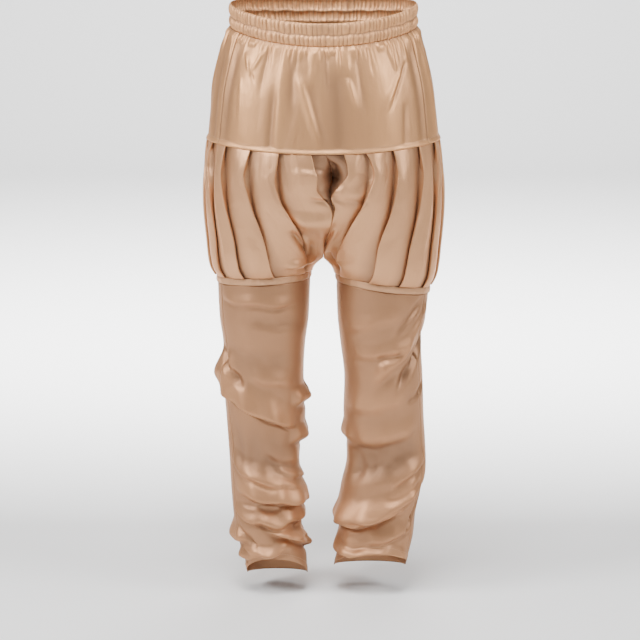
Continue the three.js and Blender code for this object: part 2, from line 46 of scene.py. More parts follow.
WAIST = {"half_width": 161, "half_depth": 118, "height": 39, "front_z": -41, "side_z": -9, "back_z": -6}
HIP = {"half_width": 203, "half_depth": 144, "seam_z": -224, "front_dip": 17}
THIGH = {"half_width": 82, "half_depth": 88, "x": 105, "y": -8}
CROTCH = {"z": -431, "y": -8, "down": 0.84, "half_gap": 0.8}
BAND = {"height": 12, "edge_proud": 1.0, "middle_proud": 2.0, "join_proud": 1.0, "join_degrees": 7}
HEM = {"front_rise": 40, "back_drop": 10, "height": 14, "thicker": 0.9, "stitch_dip": 0.7}

LEGS = {
    "right": {
        "side": -1,
        "band_z": -466,
        "band_tilt": 4,
        "hem_z": -1014,
        "band_join": -1,
        "pleats": [8, 22, 38, 56, 71, 86, 101, 116, 131, 145, 158, 169],
    },
    "left": {
        "side": 1,
        "band_z": -478,
        "band_tilt": 11,
        "hem_z": -1000,
        "band_join": 4,
        "pleats": [10, 21, 36, 54, 72, 87, 102, 116, 130, 144, 157, 168],
    },
}
FRONT_PLEATS = 4

YOKE_ROWS = [
    {"down": 0.0, "half_width": 162, "half_depth": 118},
    {"down": 0.07, "half_width": 169, "half_depth": 122},
    {"down": 0.22, "half_width": 179, "half_depth": 129},
    {"down": 0.5, "half_width": 192, "half_depth": 138},
    {"down": 0.8, "half_width": 199, "half_depth": 143},
    {"down": 1.0, "half_width": 203, "half_depth": 144},
]

# The bloomers, by the share of the way down them: how far their line has gone from the hip to the thigh,
# how far they puff out at the sides and at front and back, how high a pleat's flap stands, how far the
# cloth runs under it, and how far its edge has swung open
BLOOMER_COLUMNS = ("down", "to_thigh", "side_puff", "front_puff", "flap", "under", "open")
BLOOMER_ROWS = [
    dict(zip(BLOOMER_COLUMNS, row))
    for row in [
        (0.0, 0.0, -3, -3, 4.8, 8, 0),
        (0.08, 0.0, -3, -2, 8, 6.5, 6),
        (0.2, 0.02, -4, -1, 13, 5, 12),
        (0.34, 0.08, -2, 1, 14.5, 4, 5),
        (0.48, 0.22, 1, 5, 13.5, 4, 0),
        (0.6, 0.44, 4, 11, 12, 4, -2),
        (0.72, 0.67, 6, 16, 10.5, 4.3, -1.5),
        (0.84, 0.87, 8, 19, 8.5, 4.8, 1),
        (0.93, 0.97, 7, 14, 6.5, 5.3, 2),
        (1.0, 1.0, 0, 0, 4.8, 6, 0),
    ]
]
# The middle seam, by the share of the way down to the crotch, and how far round the cloth bends in to it
MIDDLE_COLUMNS = ("down", "front_y", "back_y")
MIDDLE_ROWS = [
    dict(zip(MIDDLE_COLUMNS, row))
    for row in [
        (0.0, -141, 141),
        (0.1, -126, 143),
        (0.22, -98, 140),
        (0.34, -112, 135),
        (0.48, -124, 126),
        (0.66, -102, 102),
        (0.84, -58, 58),
        (1.0, -8, -8),
    ]
]
MIDDLE_REACH = {"at_top": 0.07, "above_crotch": 0.16, "at_band": 0.03}

# The two pleats nearest the middle lean in to it: where on the way down that starts and ends, and how
# much of their distance from the middle is left over
LEAN_COLUMNS = ("starts", "ends", "left_over")
LEANING_PLEATS = {
    "right": [dict(zip(LEAN_COLUMNS, row)) for row in [(0.26, 0.48, 0.16), (0.25, 0.8, 0.74)]],
    "left": [dict(zip(LEAN_COLUMNS, row)) for row in [(0.14, 0.38, 0.16), (0.2, 0.8, 0.68)]],
}
# The section of a pleat: heights as shares of its flap, and its foot and crown as shares of its pitch
PLEAT = {
    "under_layer": 2.1,
    "top_layer": 2.4,
    "pressed": 4.8,
    "quiet_degrees": 16,
    "seam_height": 0.94,
    "foot": 0.04,
    "foot_height": 0.28,
    "fold_height": -0.05,
    "under_height": 0.2,
    "edge_height": 0.55,
    "lip_height": 0.84,
    "crown": 0.3,
    "crown_height": 1.04,
}

LEG_COLUMNS = ("z", "x", "y", "half_width", "half_depth")
LEG_ROWS = {
    "right": [
        dict(zip(LEG_COLUMNS, row))
        for row in [
            (-474, 105, -8, 82, 88),
            (-540, 105, -10, 79, 84),
            (-585, 105, -9, 73, 79),
            (-645, 107, -4, 72, 77),
            (-720, 103, 5, 71, 74),
            (-800, 106, 12, 63, 69),
            (-860, 101, 13, 65, 67),
            (-930, 99, 11, 60, 64),
            (-975, 89, 8, 58, 61),
            (-1014, 83, 6, 54, 59),
        ]
    ],
    "left": [
        dict(zip(LEG_COLUMNS, row))
        for row in [
            (-486, 105, -8, 82, 88),
            (-540, 103, -10, 78, 84),
            (-585, 102, -9, 72, 80),
            (-645, 107, -4, 70, 77),
            (-720, 108, 5, 72, 74),
            (-800, 113, 12, 71, 71),
            (-855, 104, 13, 73, 70),
            (-900, 97, 12, 70, 67),
            (-945, 95, 9, 67, 65),
            (-1000, 84, 6, 64, 60),
        ]
    ],
}

# Folds of the lower legs. A fold runs from one angle and height to another, and its middle hangs lower by
# its bow. It stands out by its height, dies away above and below its line, and rolls down over what is
# under it.
FOLD_COLUMNS = ("start", "start_z", "end", "end_z", "bow", "height", "above", "below", "roll")
MAIN_FOLDS = {
    "right": [
        (106, -632, -60, -738, 2, 9, 46, 9, 5),
        (100, -642, -52, -738, 2, 6.5, 50, 8, 5),
        (-128, -668, -40, -680, 4, 11, 20, 20, 4),
        (-120, -744, -40, -750, 4, 10, 24, 20, 4),
        (30, -618, 150, -630, 8, 10, 40, 30, 3),
        (150, -650, 250, -690, 12, 8, 36, 20, 4),
        (62, -838, -125, -868, 8, 11, 44, 14, 6),
        (62, -852, -92, -870, 6, 6, 34, 8, 3),
        (42, -898, -125, -890, 8, 8, 16, 12, 4),
        (135, -922, 30, -938, 6, 11, 26, 13, 5),
        (15, -905, -125, -968, 0, 14, 22, 14, 6),
        (115, -982, -45, -948, 4, 8, 16, 10, 3),
        (125, -868, 255, -888, 10, 10, 26, 16, 5),
        (135, -946, 255, -938, 8, 9, 22, 15, 5),
    ],
    "left": [
        (105, -548, 8, -670, -4, -10, 22, 20, 0),
        (62, -558, -24, -652, 0, 8, 30, 22, 2),
        (68, -762, -72, -806, 10, -12, 50, 44, 0),
        (95, -795, -115, -886, 56, 12, 40, 15, 5),
        (58, -830, -84, -882, 38, 7, 40, 8, 3),
        (-125, -886, -50, -898, 4, 5, 22, 16, 3),
        (85, -985, -125, -950, 2, 11, 34, 12, 5),
        (-128, -742, -45, -748, 4, 6, 26, 18, 2),
        (125, -640, 240, -672, 12, 8, 36, 20, 4),
        (110, -846, 245, -868, 10, 10, 28, 16, 5),
        (115, -930, 250, -922, 8, 10, 24, 15, 5),
    ],
}
# Smaller creases between the folds
MINOR_FOLDS = {
    "right": [
        (70, -496, -55, -504, 4, 3.5, 20, 9, 2),
        (70, -590, -60, -604, 6, -4, 22, 44, 0),
        (30, -540, -70, -552, -6, -3.5, 22, 18, 0),
        (85, -585, 22, -658, 2, -9, 16, 10, 0),
        (20, -630, -55, -648, 8, 4, 30, 14, 1),
        (80, -778, -66, -800, 0, -9, 80, 40, 0),
        (10, -770, -85, -800, 6, 4.5, 26, 14, 1),
        (75, -792, -20, -826, 8, 4.5, 30, 10, 2),
        (40, -812, -70, -838, 8, 3.5, 16, 7, 2),
        (-20, -812, -110, -830, 4, 5, 12, 8, 2),
        (60, -868, -40, -884, 6, -5, 10, 8, 0),
        (75, -880, 5, -910, 4, 5, 16, 7, 3),
        (20, -912, -80, -918, 4, -6, 8, 7, 0),
        (-10, -926, -110, -934, 2, 5, 8, 6, 3),
        (80, -944, -20, -962, 6, 5, 10, 7, 2),
        (60, -918, 20, -958, -6, -7, 8, 7, 0),
        (110, -700, 200, -724, 8, 5, 26, 12, 2),
        (120, -780, 240, -800, 10, 5, 30, 12, 2),
        (100, -560, 220, -580, 10, 4.5, 30, 18, 1),
        (200, -840, 280, -850, 6, 5, 16, 9, 2),
        (120, -902, 230, -908, 6, 5, 12, 7, 2),
        (150, -966, 250, -972, 4, 5, 14, 7, 2),
    ],
    "left": [
        (60, -500, 15, -560, 4, -4.5, 16, 12, 0),
        (75, -510, 42, -566, 2, 4.5, 14, 10, 1),
        (30, -520, -60, -548, 6, 3.5, 26, 18, 1),
        (40, -578, -50, -600, 4, 4, 22, 14, 1),
        (40, -588, -10, -606, 2, -5, 10, 12, 0),
        (90, -650, 30, -690, 2, -4.5, 14, 10, 0),
        (40, -672, -70, -694, 8, 5, 44, 20, 1),
        (60, -728, -62, -752, 8, 5, 34, 22, 1),
        (20, -766, -75, -778, 2, -5, 12, 24, 0),
        (80, -782, 5, -842, 2, 5.5, 26, 10, 2),
        (70, -820, 0, -862, 10, -5, 10, 9, 0),
        (60, -868, -30, -896, 10, 4, 14, 9, 2),
        (92, -850, 40, -940, 0, -8, 14, 10, 0),
        (10, -902, -90, -908, 6, 4.5, 12, 8, 2),
        (70, -914, -20, -940, 6, 4.5, 26, 9, 2),
        (20, -952, -80, -948, 2, -5, 8, 7, 0),
        (110, -700, 210, -724, 8, 5, 26, 12, 2),
        (100, -560, 230, -590, 10, 4.5, 30, 18, 1),
        (130, -780, 240, -800, 10, 5, 30, 13, 2),
        (120, -885, 230, -892, 6, 5, 12, 7, 2),
        (150, -955, 255, -962, 4, 5, 14, 7, 2),
    ],
}
# How long a fold's ends are, how far its line wanders, and how deep the tuck under it is
FOLD_TAPER = 0.28
FOLD_WANDER = 1.8
FOLD_TUCK = 0.65

# Creases that run down the cloth. A crease goes from one angle to another, between two places down the
# piece, swings sideways by its bow in the middle, and has a width in degrees and a height, which is
# below 0 where it sinks in.
CREASE_COLUMNS = ("start", "end", "first", "last", "bow", "width", "height")

# Camera, from the photograph's frame: 640 pixels across, 1.78 mm to a pixel at the garment
FRAME_PIXELS = 640
MM_PER_PIXEL = 1.78
CAMERA_DISTANCE = 4.0
CAMERA_TILT = math.radians(9.5)
CAMERA_TARGET = Vector((-0.006, 0.0, -0.549))
FLOOR_Z = -1.045


# Small helpers


def mix(a, b, share):
    return a + (b - a) * share


def smoothstep(low, high, value):
    t = np.clip((value - low) / (high - low), 0, 1)
    return t * t * (3 - 2 * t)


def read_column(rows, place, column, at):
    """A smooth curve through one column of a table, read at places in another column."""
    places = np.array([row[place] for row in rows], float)
    values = np.array([row[column] for row in rows], float)
    at = np.asarray(at, float)
    if places[-1] < places[0]:
        places, at = -places, -at
    count = len(places)
    before = np.maximum(np.arange(count) - 1, 0)
    after = np.minimum(np.arange(count) + 1, count - 1)
    slopes = (values[after] - values[before]) / (places[after] - places[before])
    i = np.clip(np.searchsorted(places, at) - 1, 0, count - 2)
    span = places[i + 1] - places[i]
    t = np.clip((at - places[i]) / span, 0, 1)
    start_pull = (t**3 - 2 * t**2 + t) * span * slopes[i]
    end_pull = (t**3 - t**2) * span * slopes[i + 1]
    return mix(values[i], values[i + 1], t * t * (3 - 2 * t)) + start_pull + end_pull


def steady(number, salt=0):
    """A steady number from 0 to 1 for the pleat or gather of this number."""
    wave = np.sin(number * 12.9898 + salt * 78.233) * 43758.5453
    return wave - np.floor(wave)


def unit(vectors):
    return vectors / np.maximum(np.linalg.norm(vectors, axis=-1, keepdims=True), 1e-9)


def grid_normals(points, side):
    """The directions out of a grid of points whose columns grow towards the body's side."""
    down = np.gradient(points, axis=0)
    across = np.gradient(points, axis=1)
    return unit(np.cross(down, across) * side)


def fold_shift(folds, degrees, z):
    """How folds move a surface: outwards and up. Close under each one is the tuck that it hangs over."""
    outwards = np.zeros_like(z)
    upwards = np.zeros_like(z)
    for fold in folds:
        row = dict(zip(FOLD_COLUMNS, fold))
        for turn in (-360, 0, 360):
            along = (degrees + turn - row["start"]) / (row["end"] - row["start"])
            inside = (along > 0) & (along < 1)
            wander = FOLD_WANDER * np.sin(0.13 * degrees + row["start_z"])
            bow = row["bow"] * 4 * along * (1 - along)
            away = z - (mix(row["start_z"], row["end_z"], along) - bow + wander)
            reach = np.where(away > 0, row["above"], row["below"])
            ends = smoothstep(0, FOLD_TAPER, along) * (1 - smoothstep(1 - FOLD_TAPER, 1, along)) * inside
            strength = ends * (1 - smoothstep(0, reach, np.abs(away)))
            swell = 1 + 0.16 * np.sin(0.19 * degrees + row["end_z"])
            tuck = ends * np.exp(-(((away + 1.1 * row["below"]) / (0.4 * row["below"])) ** 2))
            outwards += row["height"] * strength * swell - FOLD_TUCK * row["roll"] * tuck
            upwards -= row["roll"] * strength
    return outwards, upwards


def crease_height(creases, degrees, place):
    """How far creases that run down the cloth lift it, or sink it."""
    lift = np.zeros(np.broadcast_shapes(np.shape(degrees), np.shape(place)))
    for crease in creases:
        row = dict(zip(CREASE_COLUMNS, crease))
        along = (place - row["first"]) / (row["last"] - row["first"])
        ends = smoothstep(0, 0.22, along) * (1 - smoothstep(0.55, 1, along))
        for turn in (-360, 0, 360):
            line = mix(row["start"], row["end"], along) + row["bow"] * 4 * along * (1 - along) + turn
            lift = lift + row["height"] * ends * np.exp(-(((degrees - line) / row["width"]) ** 2))
    return lift


# Rings of the waist, the hips and the thighs


def waist_level(angle):
    swing = (WAIST["back_z"] - WAIST["front_z"]) / 2
    lean = (WAIST["back_z"] + WAIST["front_z"]) / 2 - WAIST["side_z"]
    return WAIST["side_z"] + lean * np.cos(angle) ** 2 - swing * np.cos(angle)


def hip_seam_z(angle):
    return HIP["seam_z"] - HIP["front_dip"] / 2 * (np.cos(angle) + np.cos(angle) ** 2)


def band_level(leg, angle):
    return leg["band_z"] - leg["band_tilt"] * np.sin(angle)


def ring_point(half_width, half_depth, angle, z, height):
    """Points on an ellipse, moved straight out from it."""
    sine, cosine = np.sin(angle), np.cos(angle)
    out = unit(np.stack(np.broadcast_arrays(sine / half_width, -cosine / half_depth, 0.0 * z), axis=-1))
    ring = np.stack(np.broadcast_arrays(half_width * sine, -half_depth * cosine, z), axis=-1)
    return ring + out * np.asarray(height)[..., None]


def on_leg(leg, x, y, points):
    """Points round one leg, set on the leg's middle line and mirrored to its side."""
    moved = points + np.stack(np.broadcast_arrays(x, y, np.zeros_like(points[..., 0])), axis=-1)
    moved[..., 0] *= leg["side"]
    return moved


# Making the meshes


def cloth_mesh(name, sheet, closed=False, thickness=CLOTH):
    """A shell of cloth through a grid of points, given in millimetres, with a UV map in metres.
    Its attribute of painted light and shade is 0, darkened as painted shade, down in a fold and 1, left
    lit, on the cloth that stands out of the folds."""
    points, painted_light = sheet
    rows, columns = points.shape[:2]
    flat = points.reshape(-1, 3) * 0.001
    i, j = np.meshgrid(np.arange(rows - 1), np.arange(columns if closed else columns - 1), indexing="ij")
    k = (j + 1) % columns
    upper, lower = i * columns, (i + 1) * columns
    quads = np.stack([upper + j, lower + j, lower + k, upper + k], axis=-1)
    mesh = bpy.data.meshes.new(name)
    mesh.from_pydata(flat.tolist(), [], quads.reshape(-1, 4).tolist())
    middle = points[rows // 2]
    steps = np.linalg.norm(np.diff(middle, axis=0, append=middle[:1]), axis=-1)
    across = np.concatenate([[0], np.cumsum(steps)]) * 0.001
    column = points[:, columns // 2]
    along = np.concatenate([[0], np.cumsum(np.linalg.norm(np.diff(column, axis=0), axis=-1))]) * 0.001
    corners_u = np.stack([across[j], across[j], across[j + 1], across[j + 1]], axis=-1)
    corners_v = np.stack([along[i], along[i + 1], along[i + 1], along[i]], axis=-1)
    layer = mesh.uv_layers.new(name="cloth")
    layer.data.foreach_set("uv", np.stack([corners_u, -corners_v], axis=-1).reshape(-1))
    # Painted light and shade per point, which the satin turns into darker cloth down in folds
    attribute = mesh.attributes.new("painted_light", "FLOAT", "POINT")
    shares = np.broadcast_to(np.clip(painted_light, 0, 1), (rows, columns))
    attribute.data.foreach_set("value", shares.reshape(-1).astype("f"))
    mesh.shade_smooth()
    piece = bpy.data.objects.new(name, mesh)
    bpy.context.scene.collection.objects.link(piece)
    wall = piece.modifiers.new("wall", "SOLIDIFY")
    wall.thickness = thickness * 0.001
    wall.offset = 0
    wall.use_even_offset = False
    wall.use_rim = True
    return piece


# A stitch, in millimetres, and its rings: their places along its length and their share of its radius
STITCH = {"pitch": 3.2, "length": 2.3, "radius": 0.32, "sides": 6, "above_cloth": 0.1}
STITCH_RINGS = [(-0.5, 0.1), (-0.36, 0.8), (0.0, 1.0), (0.36, 0.8), (0.5, 0.1)]


def along_line(values, travelled, where):
    """What a line's values are at distances travelled along it."""
    return np.stack([np.interp(where, travelled, values[:, axis]) for axis in range(3)], axis=-1)


def stitched_rows(name, rows):
    """One mesh of short stitches. A row has a line of points, its directions out, and whether it closes."""
    sides, rings = STITCH["sides"], len(STITCH_RINGS)
    corners, quads = [], []
    made = 0
    for line, out, closed in rows:
        if closed:
            line, out = np.vstack([line, line[:1]]), np.vstack([out, out[:1]])
        travelled = np.concatenate([[0], np.cumsum(np.linalg.norm(np.diff(line, axis=0), axis=-1))])
        count = int(travelled[-1] / STITCH["pitch"])
        middles = (np.arange(count) + 0.5) * travelled[-1] / count
        ahead = along_line(line, travelled, middles + 0.5)
        along = unit(ahead - along_line(line, travelled, middles - 0.5))
        up = unit(along_line(out, travelled, middles))
        side = np.cross(along, up)
        centre = along_line(line, travelled, middles) + up * (CLOTH / 2 + STITCH["above_cloth"])
        for share, swell in STITCH_RINGS:
            ring_centre = centre + along * share * STITCH["length"]
            for corner in range(sides):
                turn = 2 * math.pi * corner / sides
                around = up * math.cos(turn) + side * math.sin(turn)
                corners.append(ring_centre + around * swell * STITCH["radius"])
        number = made + np.arange(rings * sides * count).reshape(rings, sides, count)
        made += rings * sides * count
        for lower, upper in zip(number[:-1], number[1:]):
            for corner in range(sides):
                after = (corner + 1) % sides
                faces = (lower[corner], lower[after], upper[after], upper[corner])
                quads.append(np.stack(faces, axis=-1))
    mesh = bpy.data.meshes.new(name)
    mesh.from_pydata((np.vstack(corners) * 0.001).tolist(), [], np.vstack(quads).tolist())
    mesh.shade_smooth()
    piece = bpy.data.objects.new(name, mesh)
    bpy.context.scene.collection.objects.link(piece)
    piece.data.materials.append(thread)
    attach(piece, "root")


def grid_row(points, side, row, closed=False):
    """One row of a grid of points, as a line to stitch along."""
    return points[row], grid_normals(points, side)[row], closed


def dress(piece, node, material):
    """Put a piece of cloth in its node's place: give it its finish, hang it on the root, and hide the
    node's solid.
    """
    piece.data.materials.append(material)
    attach(piece, "root")
    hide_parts(node)


# Waistband


WAIST_GATHERS = 118
WAIST_GROOVE = {"up": 0.47, "width": 0.05, "shade": 0.7}
WAIST_PROFILE = [
    {"up": 0.0, "height": 0.6, "gather": 1.0},
    {"up": 0.08, "height": 2.2, "gather": 2.2},
    {"up": 0.25, "height": 3.2, "gather": 2.8},
    {"up": 0.4, "height": 2.2, "gather": 2.2},
    {"up": WAIST_GROOVE["up"], "height": 0.2, "gather": 1.0},
    {"up": 0.54, "height": 2.0, "gather": 2.2},
    {"up": 0.75, "height": 3.0, "gather": 2.8},
    {"up": 0.93, "height": 2.2, "gather": 2.2},
    {"up": 1.0, "height": 0.6, "gather": 1.4},
]


def gather_wave(angle, salt):
    """Rounded gathers with narrow valleys between, of uneven width and height, from 0 to 1."""
    drift = 0.55 * np.sin(7 * angle + salt) + 0.4 * np.sin(17 * angle + 2.1 * salt)
    drift = drift + 0.3 * np.sin(29 * angle + salt)
    turn = WAIST_GATHERS * angle / (2 * math.pi) + drift * 0.5
    crest = np.abs(np.sin(math.pi * turn)) ** 0.7
    number = np.floor(turn)
    return crest * mix(0.45, 1.0, steady(number, salt))


def waist_sheet():
    columns, rows = ((1040, 22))
    angle = np.linspace(0, 2 * math.pi, columns, endpoint=False)[None, :]
    up = np.linspace(0, 1, rows)[:, None]
    height = read_column(WAIST_PROFILE, "up", "height", up)
    stand = read_column(WAIST_PROFILE, "up", "gather", up)
    lower = gather_wave(angle, 1.0)
    upper = gather_wave(angle + 0.006 * np.sin(9 * angle), 2.0)
    wave = mix(lower, upper, smoothstep(0.36, 0.6, up))
    slump = 0.8 * np.sin(23 * angle + 3 * up)
    z = waist_level(angle) + (up - 0.5) * WAIST["height"] + slump * np.sin(math.pi * up)
    out = height - stand / 2 + stand * wave - CLOTH / 2
    z = np.broadcast_to(z, out.shape)
    # Painted shade: the valleys between the gathers and the stitched groove are darkened
    groove = np.exp(-(((up - WAIST_GROOVE["up"]) / WAIST_GROOVE["width"]) ** 2))
    painted_light = (0.15 + 1.5 * wave) * (1 - WAIST_GROOVE["shade"] * groove)
    return ring_point(WAIST["half_width"], WAIST["half_depth"], angle, z, out), painted_light


# Yoke


# Soft hanging folds and creases of the yoke, by the share of the way down it
YOKE_FRONT_CREASES = [
    (-57, -59, 0.0, 1.3, 0, 4.5, -3.0),
    (-43, -41, 0.0, 1.5, 0, 7.5, 3.6),
    (-49, -41, 0.12, 0.34, 0, 1.5, 2.8),
    (-36, -42, 0.08, 0.3, 0, 1.3, 2.4),
    (-45, -38, 0.2, 0.42, 0, 1.2, -2.2),
    (-50, -47, 0.3, 0.9, 2, 1.6, 1.8),
    (-33, -35, 0.0, 0.55, 0, 1.8, -2.4),
    (-26, -28, 0.35, 1.3, 0, 2.4, -2.8),
    (-22, -24, 0.0, 1.2, 0, 2.6, 2.8),
    (-17, -15, 0.0, 0.75, -1, 2.4, -2.6),
    (-14, -1, 0.22, 0.98, 0, 2.3, 3.8),
    (-9, 3, 0.3, 1.1, 0, 2.6, -2.8),
    (-5, -7, 0.0, 0.4, 0, 1.8, 2.4),
    (1, 2, 0.0, 0.5, 0, 1.6, -2.2),
    (6, 8, 0.15, 1.3, 0, 4.2, -3.4),
    (13, 17, 0.28, 0.62, 0, 1.3, 3.0),
    (14, 13, 0.0, 0.3, 0, 1.4, 2.4),
    (19, 21, 0.0, 0.7, 0, 1.8, -2.2),
    (27, 27.5, 0.0, 0.32, 0, 0.8, -2.4),
    (30, 36, 0.0, 1.4, 0, 7.5, 3.6),
    (53, 34, 0.2, 0.68, -2, 1.5, -3.4),
    (50, 30, 0.24, 0.7, -2, 2.4, 2.6),
    (40, 43, 0.03, 0.34, 0, 1.5, 2.6),
    (46, 43, 0.55, 1.1, 0, 2.0, -1.8),
    (58, 59, 0.0, 1.3, 0, 4.0, -3.0),
]
YOKE_BACK_CREASES = [
    (72, 77, 0.0, 1.2, 0, 4.5, 3.2),
    (80, 76, 0.0, 0.5, 0, 1.6, -2.6),
    (90, 85, 0.05, 1.1, 1, 3.0, -3.0),
    (99, 108, 0.1, 0.8, 0, 2.0, 3.0),
    (112, 109, 0.0, 0.45, 0, 1.8, -2.4),
    (122, 118, 0.0, 1.3, -2, 6.0, 3.4),
    (131, 140, 0.2, 0.9, 0, 1.8, -2.8),
    (144, 141, 0.0, 0.6, 0, 2.2, 2.8),
    (155, 149, 0.3, 1.3, 0, 2.6, -2.6),
    (163, 166, 0.0, 0.9, 1, 4.0, 3.4),
    (174, 171, 0.0, 0.4, 0, 1.5, -2.6),
    (180, 184, 0.15, 1.3, 0, 4.0, -3.2),
    (193, 190, 0.0, 0.7, 0, 2.2, 3.0),
    (205, 214, 0.1, 0.85, 0, 1.8, 2.8),
    (211, 221, 0.12, 0.9, 0, 2.2, -3.0),
    (229, 226, 0.0, 1.3, 2, 6.0, 3.4),
    (238, 241, 0.0, 0.5, 0, 1.6, -2.4),
    (251, 244, 0.25, 1.1, 0, 2.0, 2.6),
    (262, 266, 0.0, 1.2, 0, 3.4, -3.0),
    (275, 272, 0.0, 0.8, 0, 2.4, 3.0),
    (286, 289, 0.1, 1.3, 0, 3.6, -2.6),
]
YOKE_GATHERS = {"front": 34, "back": 58, "height": 4.4, "gone": 0.2}
YOKE_HEM = {"flare": 3.0, "from_down": 0.95, "stitch_down": 0.962, "stitch_width": 0.008, "stitch_dip": 0.7}
# How many millimetres of fold take the cloth's painted shade from lit to dark
YOKE_FOLD_SHADE = 8


def yoke_sheet(start, end, gathers, creases, salt):
    columns, rows = ((gathers * 7 + 1, 84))
    half_gap = math.degrees(SEAM_GAP / 2 / HIP["half_depth"])
    degrees = np.linspace(start + half_gap, end - half_gap, columns)[None, :]
    down = np.linspace(0, 1, rows)[:, None] ** 1.25
    angle = np.radians(degrees)
    top_z = waist_level(angle) - WAIST["height"] / 2 - SEAM_GAP
    z = mix(top_z, hip_seam_z(angle) + SEAM_GAP / 2, down)
    lean = degrees + 2.2 * down * np.sin(0.21 * degrees + salt)
    uneven = 0.35 * np.sin(0.31 * lean + salt) + 0.2 * np.sin(0.6 * lean)
    turn = (lean - start) / (end - start) * gathers + uneven
    number = np.floor(turn)
    length = YOKE_GATHERS["gone"] * mix(0.2, 1.4, steady(number, salt) ** 2)
    lift = YOKE_GATHERS["height"] * mix(0.25, 1.0, steady(number, salt + 1))
    rise = mix(0.35, 1.0, smoothstep(0, 0.045, down))
    gone = smoothstep(0.03, 0.05 + length, down)
    height = lift * np.abs(np.sin(math.pi * turn)) ** 0.8 * rise * (1 - gone)
    height = height + crease_height(creases, degrees, down) * smoothstep(0, 0.06, down)
    edge = np.minimum(degrees - start, end - degrees)
    height = height * smoothstep(0, 1.2, edge) - 0.9 * (1 - smoothstep(0, 1.1, edge))
    stitched = np.exp(-(((down - YOKE_HEM["stitch_down"]) / YOKE_HEM["stitch_width"]) ** 2))
    height = height * (1 - smoothstep(0.93, 1.0, down)) - YOKE_HEM["stitch_dip"] * stitched
    height = height + YOKE_HEM["flare"] * smoothstep(YOKE_HEM["from_down"], 1.0, down)
    half_width = read_column(YOKE_ROWS, "down", "half_width", down)
    half_depth = read_column(YOKE_ROWS, "down", "half_depth", down)
    # Painted light and shade: gathers and raised creases lighter, sunk creases darker, and painted shade
    # under the waistband and at the side seams
    painted_shade_at_waist = 1 - smoothstep(0, 0.02, down)
    painted_shade_at_side = 1 - smoothstep(0, 0.9, edge)
    painted_light = 0.7 + height / YOKE_FOLD_SHADE - 0.5 * painted_shade_at_waist - 0.5 * painted_shade_at_side
    return ring_point(half_width, half_depth, angle, z, height - CLOTH / 2), painted_light


# Bloomers


def middle_seam(leg, is_front, down):
    """The middle seam runs down between the legs to the crotch, and then on as the leg's inseam."""
    above = np.clip(down / CROTCH["down"], 0, 1)
    below = np.clip((down - CROTCH["down"]) / (1 - CROTCH["down"]), 0, 1)
    front_y = read_column(MIDDLE_ROWS, "down", "front_y", above)
    back_y = read_column(MIDDLE_ROWS, "down", "back_y", above)
    top_z = np.where(is_front, hip_seam_z(0.0), hip_seam_z(math.pi)) - SEAM_GAP / 2
    band_top = band_level(leg, -math.pi / 2) + BAND["height"] / 2 + SEAM_GAP
    spread = np.sin(below * math.pi / 2)
    inseam_x = mix(CROTCH["half_gap"], THIGH["x"] - THIGH["half_width"], spread)
    x = np.where(down <= CROTCH["down"], SEAM_GAP / 2, inseam_x)
    z = mix(mix(top_z, CROTCH["z"], above), band_top, below)
    return x, np.where(is_front, front_y, back_y), z


def bloomer_surface(leg, way, down):
    """The smooth surface that the pleats lie on. Way is 0 at the front's middle and 1 at the back's."""
    way, down = np.broadcast_arrays(np.clip(way, 0, 1), np.clip(down, 0, 1))
    hip_angle = way * math.pi
    thigh_angle = np.radians(way * 360 - 90)
    read = lambda column: read_column(BLOOMER_ROWS, "down", column, down)
    to_thigh = read("to_thigh")
    thigh_x = THIGH["x"] + THIGH["half_width"] * np.sin(thigh_angle)
    thigh_y = THIGH["y"] - THIGH["half_depth"] * np.cos(thigh_angle)
    x = mix(HIP["half_width"] * np.sin(hip_angle), thigh_x, to_thigh)
    y = mix(-HIP["half_depth"] * np.cos(hip_angle), thigh_y, to_thigh)
    x = x + read("side_puff") * np.sin(hip_angle)
    y = y - read("front_puff") * np.cos(hip_angle)
    band_top = band_level(leg, thigh_angle) + BAND["height"] / 2 + SEAM_GAP
    z = mix(hip_seam_z(hip_angle) - SEAM_GAP / 2, band_top, down)
    middle_x, middle_y, middle_z = middle_seam(leg, way < 0.5, down)
    above_crotch = mix(MIDDLE_REACH["at_top"], MIDDLE_REACH["above_crotch"], smoothstep(0.2, 0.55, down))
    reach = mix(above_crotch, MIDDLE_REACH["at_band"], smoothstep(CROTCH["down"], 1, down))
    away = np.sin(math.pi / 2 * np.minimum(1, np.minimum(way, 1 - way) / reach))
    x = leg["side"] * mix(middle_x, x, away)
    return np.stack([x, mix(middle_y, y, away), mix(middle_z, z, away)], axis=-1)


def bloomer_out(leg, way, down):
    """The directions straight out of the smooth surface, flat along the two edges that are sewn."""
    step = 0.004
    before = bloomer_surface(leg, way - step, down)
    after = bloomer_surface(leg, way + step, down)
    above = bloomer_surface(leg, way, down - step)
    below = bloomer_surface(leg, way, down + step)
    out = unit(np.cross(below - above, after - before) * leg["side"])
    out[..., 2] *= smoothstep(0, 0.03, down) * (1 - smoothstep(0.985, 1, down))
    return unit(out)


